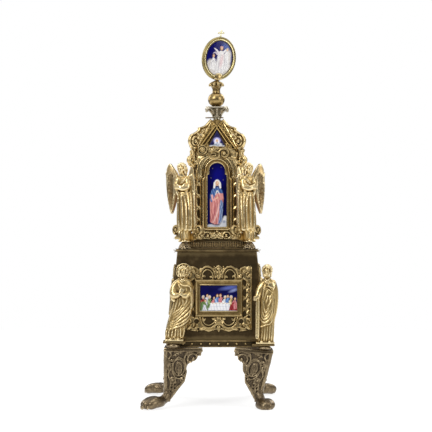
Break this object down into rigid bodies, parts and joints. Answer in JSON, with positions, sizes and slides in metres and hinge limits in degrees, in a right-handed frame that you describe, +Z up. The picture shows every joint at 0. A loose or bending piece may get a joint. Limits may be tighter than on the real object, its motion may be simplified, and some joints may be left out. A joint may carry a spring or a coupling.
{
  "type": "altar tabernacle",
  "caption": "Tall four-sided brass altar tabernacle on scrolled legs, with enamel plaques in cast frames, gilt saints and angels, a hipped roof and an oval finial with a cross.",
  "frame": {"origin": "on the floor, in the middle of the four feet's bounding box", "axes": "+Z up; -Y is the front; +X is to the right of a person who faces the front"},
  "size_m": [0.2038, 0.2242, 0.5569],
  "materials": {
    "leg_brass": "cast brass with a mottled brown patina, polished at the toes",
    "sheet_brass": "sheet brass darkened to an olive brown",
    "frame_gilt": "cast openwork with worn gilding, dark in its recesses",
    "figure_gilt": "cast and chased figures, bright worn gilding",
    "finial_gilt": "turned and cast brass with darkened gilding",
    "enamel": "glossy painted enamel on a cobalt ground"
  },
  "bodies": {
    "root": {"angel_back_left": "figure_gilt", "angel_back_right": "figure_gilt", "angel_front_left": "figure_gilt", "angel_front_right": "figure_gilt", "base_plate": "sheet_brass", "capital": "leg_brass", "crest_back_left": "frame_gilt", "crest_back_right": "frame_gilt", "crest_front_left": "frame_gilt", "crest_front_right": "frame_gilt", "cross": "finial_gilt", "cushion_back_left": "leg_brass", "cushion_back_right": "leg_brass", "cushion_front_left": "leg_brass", "cushion_front_right": "leg_brass", "finial_ball": "finial_gilt", "finial_cap": "finial_gilt", "gable_enamel_back": "enamel", "gable_enamel_front": "enamel", "gable_enamel_left": "enamel", "gable_enamel_right": "enamel", "gable_frame_back": "frame_gilt", "gable_frame_front": "frame_gilt", "gable_frame_left": "frame_gilt", "gable_frame_right": "frame_gilt", "leg_back_left": "leg_brass", "leg_back_right": "leg_brass", "leg_front_left": "leg_brass", "leg_front_right": "leg_brass", "lower_casing": "sheet_brass", "lower_enamel_back": "enamel", "lower_enamel_front": "enamel", "lower_enamel_left": "enamel", "lower_enamel_right": "enamel", "lower_frame_back": "frame_gilt", "lower_frame_front": "frame_gilt", "lower_frame_left": "frame_gilt", "lower_frame_right": "frame_gilt", "medallion_enamel": "enamel", "medallion_frame": "frame_gilt", "mid_plinth": "sheet_brass", "saint_back_left": "figure_gilt", "saint_back_right": "figure_gilt", "saint_front_left": "figure_gilt", "saint_front_right": "figure_gilt", "shrine_casing": "sheet_brass", "shrine_enamel_back": "enamel", "shrine_enamel_front": "enamel", "shrine_enamel_left": "enamel", "shrine_enamel_right": "enamel", "shrine_frame_back": "frame_gilt", "shrine_frame_front": "frame_gilt", "shrine_frame_left": "frame_gilt", "shrine_frame_right": "frame_gilt", "top_plate": "sheet_brass"}
  },
  "joints": []
}
